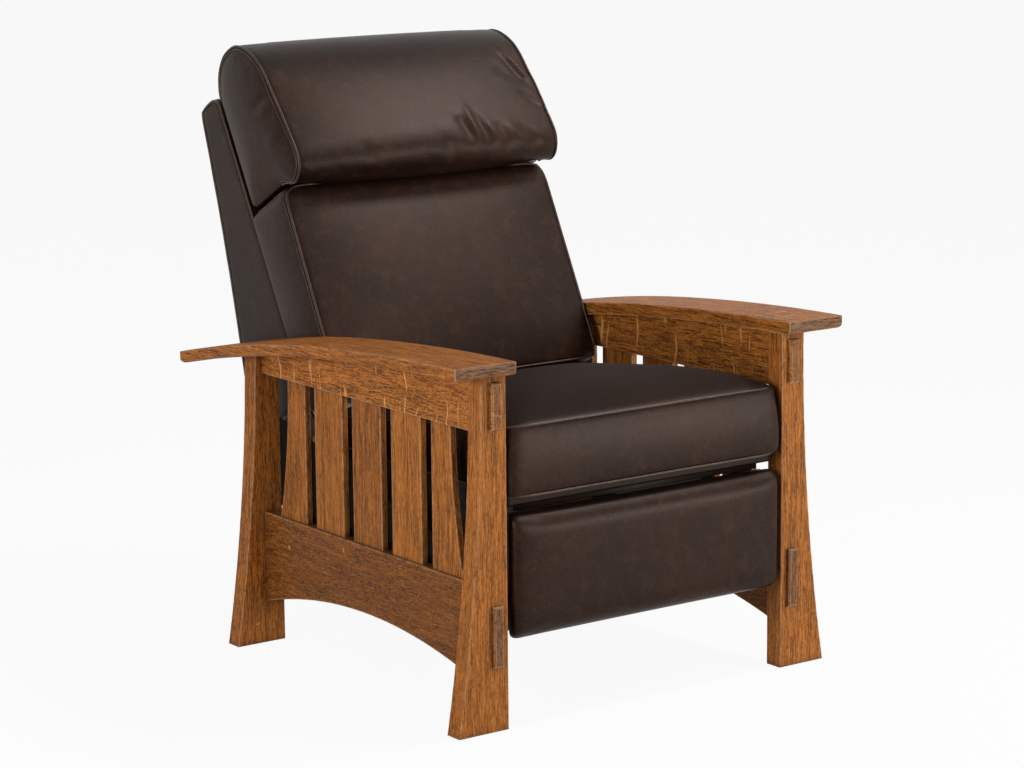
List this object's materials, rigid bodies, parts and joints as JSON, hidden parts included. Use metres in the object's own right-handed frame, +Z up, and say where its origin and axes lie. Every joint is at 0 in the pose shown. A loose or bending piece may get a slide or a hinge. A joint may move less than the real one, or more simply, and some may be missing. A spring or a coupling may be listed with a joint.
{
  "type": "reclining armchair",
  "caption": "Mission style oak armchair with slatted sides, bowed arms and dark leather upholstery, whose back reclines and drives out a footrest.",
  "frame": {"origin": "middle of the bounding box, on the floor", "axes": "+Z up, the chair faces -Y, the sitter's left is +X"},
  "size_m": [0.78, 0.9576, 1.0276],
  "materials": {
    "oak": "satin",
    "frame_wood": "matte",
    "leather": "satin",
    "webbing": "matte",
    "black_steel": "satin",
    "zinc_steel": "satin"
  },
  "bodies": {
    "chair_frame": {"front_leg_left": "oak", "front_leg_right": "oak", "rear_leg_left": "oak", "rear_leg_right": "oak", "armrest_left": "oak", "armrest_right": "oak", "upper_rail_left": "oak", "upper_rail_right": "oak", "lower_rail_left": "oak", "lower_rail_right": "oak", "side_slat_1_left": "oak", "side_slat_1_right": "oak", "side_slat_2_left": "oak", "side_slat_2_right": "oak", "side_slat_3_left": "oak", "side_slat_3_right": "oak", "side_slat_4_left": "oak", "side_slat_4_right": "oak", "side_slat_5_left": "oak", "side_slat_5_right": "oak", "front_stretcher": "oak", "rear_stretcher": "oak", "seat_front_rail": "frame_wood", "seat_rear_rail": "frame_wood", "seat_side_rail_left": "frame_wood", "seat_side_rail_right": "frame_wood", "seat_webbing": "webbing", "seat_cushion": "leather", "mechanism_plate_left": "black_steel", "mechanism_plate_right": "black_steel", "plate_screws": "zinc_steel", "pivot_bolts": "zinc_steel", "pivot_washers": "zinc_steel", "pivot_wing_nuts": "zinc_steel"},
    "back": {"back_side_panel_left": "leather", "back_side_panel_right": "leather", "outer_back_panel": "leather", "back_top_rail": "frame_wood", "back_lumbar_rail": "frame_wood", "back_bottom_rail": "frame_wood", "back_webbing": "webbing", "back_cushion": "leather", "headrest_pillow": "leather", "back_bracket_left": "black_steel", "back_bracket_right": "black_steel", "back_bracket_screws": "zinc_steel"},
    "drive": {"torque_tube": "black_steel", "drive_arms": "black_steel", "drive_cranks": "black_steel"},
    "rods": {"drive_rods": "black_steel"},
    "guide": {"guide_links": "black_steel"},
    "middle": {"middle_links": "black_steel"},
    "short": {"short_links": "black_steel"},
    "carrier": {"carrier_links": "black_steel"},
    "control": {"control_links": "black_steel"},
    "footrest": {"footrest_brackets": "black_steel", "footrest_bracket_screws": "zinc_steel", "footrest_board": "frame_wood", "footrest_pad": "leather"}
  },
  "joints": [
    {"name": "back_recline", "type": "hinge", "parent": "chair_frame", "child": "back", "pos_m": [0, 0.14381, 0.36], "axis": [-1, 0, 0], "range_deg": [0, 30]},
    {"name": "drive_turn", "type": "hinge", "parent": "chair_frame", "child": "drive", "pos_m": [0, -0.30819, 0.138], "axis": [1, 0, 0], "range_deg": [0, 38]},
    {"name": "rod_pivot", "type": "hinge", "parent": "back", "child": "rods", "pos_m": [0, 0.16193, 0.29239], "axis": [1, 0, 0], "range_deg": [0, 30]},
    {"name": "guide_pivot", "type": "hinge", "parent": "drive", "child": "guide", "pos_m": [0, -0.32251, 0.21925], "axis": [1, 0, 0], "range_deg": [-120, 0]},
    {"name": "middle_pivot", "type": "hinge", "parent": "drive", "child": "middle", "pos_m": [0, -0.33684, 0.30049], "axis": [1, 0, 0], "range_deg": [-120, 0]},
    {"name": "short_pivot", "type": "hinge", "parent": "middle", "child": "short", "pos_m": [0, -0.35117, 0.21925], "axis": [1, 0, 0], "range_deg": [0, 120]},
    {"name": "carrier_pivot", "type": "hinge", "parent": "middle", "child": "carrier", "pos_m": [0, -0.36549, 0.138], "axis": [1, 0, 0], "range_deg": [0, 120]},
    {"name": "control_pivot", "type": "hinge", "parent": "middle", "child": "control", "pos_m": [0, -0.35884, 0.17575], "axis": [1, 0, 0], "range_deg": [0, 120.32]},
    {"name": "footrest_pivot", "type": "hinge", "parent": "carrier", "child": "footrest", "pos_m": [0, -0.39415, 0.30049], "axis": [1, 0, 0], "range_deg": [-130, 0]}
  ],
  "couplings": [
    {"joint": "drive_turn", "follows": "back_recline", "ratio": 1.2667},
    {"joint": "rod_pivot", "follows": "back_recline", "ratio": 1},
    {"joint": "guide_pivot", "follows": "back_recline", "ratio": -4},
    {"joint": "middle_pivot", "follows": "back_recline", "ratio": -4},
    {"joint": "short_pivot", "follows": "back_recline", "ratio": 4},
    {"joint": "carrier_pivot", "follows": "back_recline", "ratio": 4},
    {"joint": "control_pivot", "follows": "back_recline", "ratio": 4.0106},
    {"joint": "footrest_pivot", "follows": "back_recline", "ratio": -4.3333}
  ]
}
